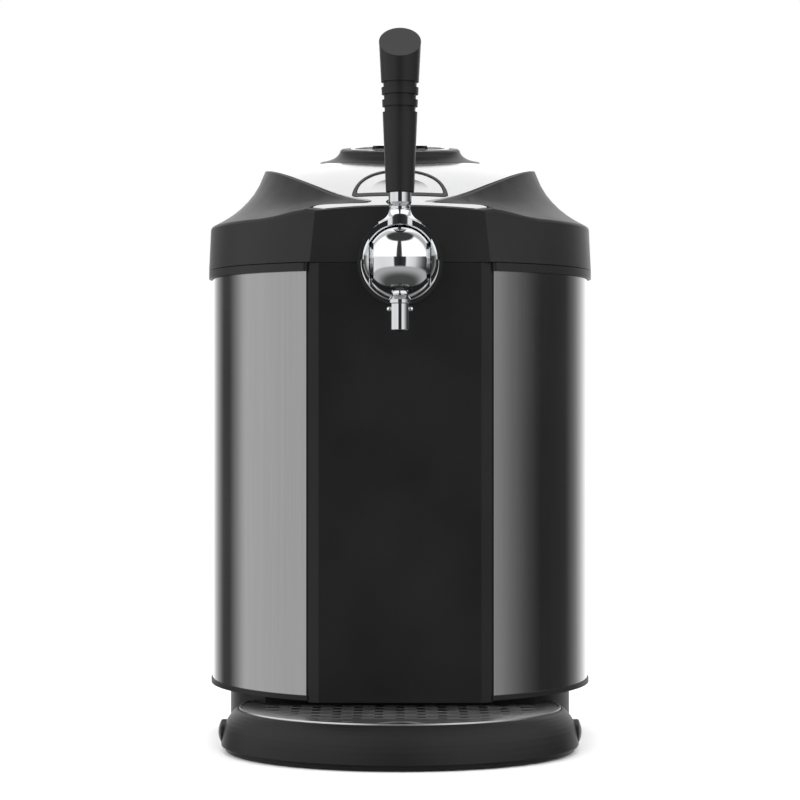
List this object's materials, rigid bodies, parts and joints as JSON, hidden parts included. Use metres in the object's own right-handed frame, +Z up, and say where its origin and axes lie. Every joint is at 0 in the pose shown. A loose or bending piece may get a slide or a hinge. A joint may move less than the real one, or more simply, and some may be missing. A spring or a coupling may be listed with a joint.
{
  "type": "mini keg drink dispenser",
  "caption": "Countertop cooler and dispenser for a small keg, with a lever tap on the front, a pull-out drip tray and a hinged lid with touch controls.",
  "frame": {"origin": "on the surface it stands on, under the middle of the footprint", "axes": "+Z up, -Y towards the tap and the drip tray (front), +X to the right seen from the front"},
  "size_m": [0.2718, 0.3608, 0.4791],
  "materials": {
    "black_plastic": "fine satin",
    "front_black": "smooth satin",
    "handle_black": "matte",
    "dark_steel": "vertical brush, tinted dark",
    "silver_paint": "satin silver",
    "soft_rubber": "matte",
    "dark_screws": "black oxide",
    "inner_plastic": "smooth",
    "foam": "closed cell foam",
    "bright_steel": "turned",
    "chrome_trim": "mirror",
    "smoked_window": "polished",
    "circuit_board": "solder mask",
    "inner_metal": "mill finish",
    "white_ceramic": "ceramic",
    "hose": "smooth",
    "polished_plate": "polished plate"
  },
  "bodies": {
    "frame": {"base_plinth": "black_plastic", "beer_line": "hose", "bottom_cover": "black_plastic", "chamber_liner": "inner_metal", "cold_block": "inner_metal", "cover_screws": "dark_screws", "fan_frame": "front_black", "front_panel": "front_black", "heat_sink": "inner_metal", "hinge_bracket": "black_plastic", "hinge_pin": "bright_steel", "insulation_foam": "foam", "keg_coupler": "front_black", "lower_trim_band": "black_plastic", "main_housing": "black_plastic", "peltier_module": "white_ceramic", "power_board": "circuit_board", "power_inlet": "front_black", "rear_cover": "black_plastic", "rubber_feet": "soft_rubber", "shank_nut": "bright_steel", "side_panel_left": "dark_steel", "side_panel_right": "dark_steel", "spout_collar": "chrome_trim", "spout_nozzle": "black_plastic", "spout_pins": "chrome_trim", "spout_tube": "chrome_trim", "tap_ball": "chrome_trim", "tap_flange": "chrome_trim", "tap_gasket": "soft_rubber", "tap_shank": "bright_steel", "top_collar": "black_plastic", "upper_trim_band": "black_plastic"},
    "lid": {"lid_shell": "silver_paint", "lid_button_bezel": "black_plastic", "lid_inner_pan": "inner_plastic", "lid_insulation": "foam", "lid_gasket": "soft_rubber", "pod_skirt": "black_plastic", "pod_ring": "chrome_trim", "pod_face": "front_black", "display_window": "smoked_window", "pod_board": "circuit_board", "button_springs": "bright_steel"},
    "release_button": {"lid_release_button": "silver_paint"},
    "latch": {"lid_latch": "black_plastic"},
    "power_button": {"power_button": "black_plastic"},
    "cooling_button": {"cooling_button": "black_plastic"},
    "handle": {"handle_yoke": "chrome_trim", "valve_spindle": "bright_steel", "spindle_screws": "bright_steel", "handle_lock_nut": "chrome_trim", "handle_ferrule": "chrome_trim", "handle_stud": "bright_steel", "handle_grip": "handle_black"},
    "fan": {"fan_rotor": "front_black"},
    "tray": {"drip_tray": "black_plastic"},
    "grille": {"drip_grille": "polished_plate"},
    "tray_button_right": {"tray_button_right": "front_black"},
    "tray_button_left": {"tray_button_left": "front_black"}
  },
  "joints": [
    {"name": "lid_hinge", "type": "hinge", "parent": "frame", "child": "lid", "pos_m": [0, 0.107, 0.3876], "axis": [-1, 0, 0], "range_deg": [0, 75]},
    {"name": "release_button_press", "type": "slide", "parent": "lid", "child": "release_button", "axis": [0, 0, -1], "range_m": [0, 0.0025], "stiffness_N_per_m": 300, "springref_m": -0.0005, "deforming": ["button_springs"]},
    {"name": "latch_slide", "type": "slide", "parent": "lid", "child": "latch", "axis": [0, 1, 0], "range_m": [0, 0.0025]},
    {"name": "power_button_press", "type": "slide", "parent": "lid", "child": "power_button", "axis": [0, 0.1478, -0.989], "range_m": [0, 0.0012], "stiffness_N_per_m": 250, "springref_m": -0.0005},
    {"name": "cooling_button_press", "type": "slide", "parent": "lid", "child": "cooling_button", "axis": [0, 0.1478, -0.989], "range_m": [0, 0.0012], "stiffness_N_per_m": 250, "springref_m": -0.0005},
    {"name": "handle_pull", "type": "hinge", "parent": "frame", "child": "handle", "pos_m": [0, -0.14, 0.3263], "axis": [1, 0, 0], "range_deg": [0, 35]},
    {"name": "fan_spin", "type": "hinge", "parent": "frame", "child": "fan", "pos_m": [0, 0.165, 0.205], "axis": [0, 1, 0], "continuous": true},
    {"name": "tray_slide", "type": "slide", "parent": "frame", "child": "tray", "axis": [0, -1, 0], "range_m": [0, 0.12]},
    {"name": "grille_lift", "type": "slide", "parent": "tray", "child": "grille", "axis": [0, 0, 1], "range_m": [0, 0.0035]},
    {"name": "tray_button_right_press", "type": "slide", "parent": "tray", "child": "tray_button_right", "axis": [-1, 0, 0], "range_m": [0, 0.0022], "stiffness_N_per_m": 300, "springref_m": -0.0005},
    {"name": "tray_button_left_press", "type": "slide", "parent": "tray", "child": "tray_button_left", "axis": [1, 0, 0], "range_m": [0, 0.0022], "stiffness_N_per_m": 300, "springref_m": -0.0005}
  ],
  "couplings": [
    {"joint": "latch_slide", "follows": "release_button_press", "ratio": 1}
  ]
}
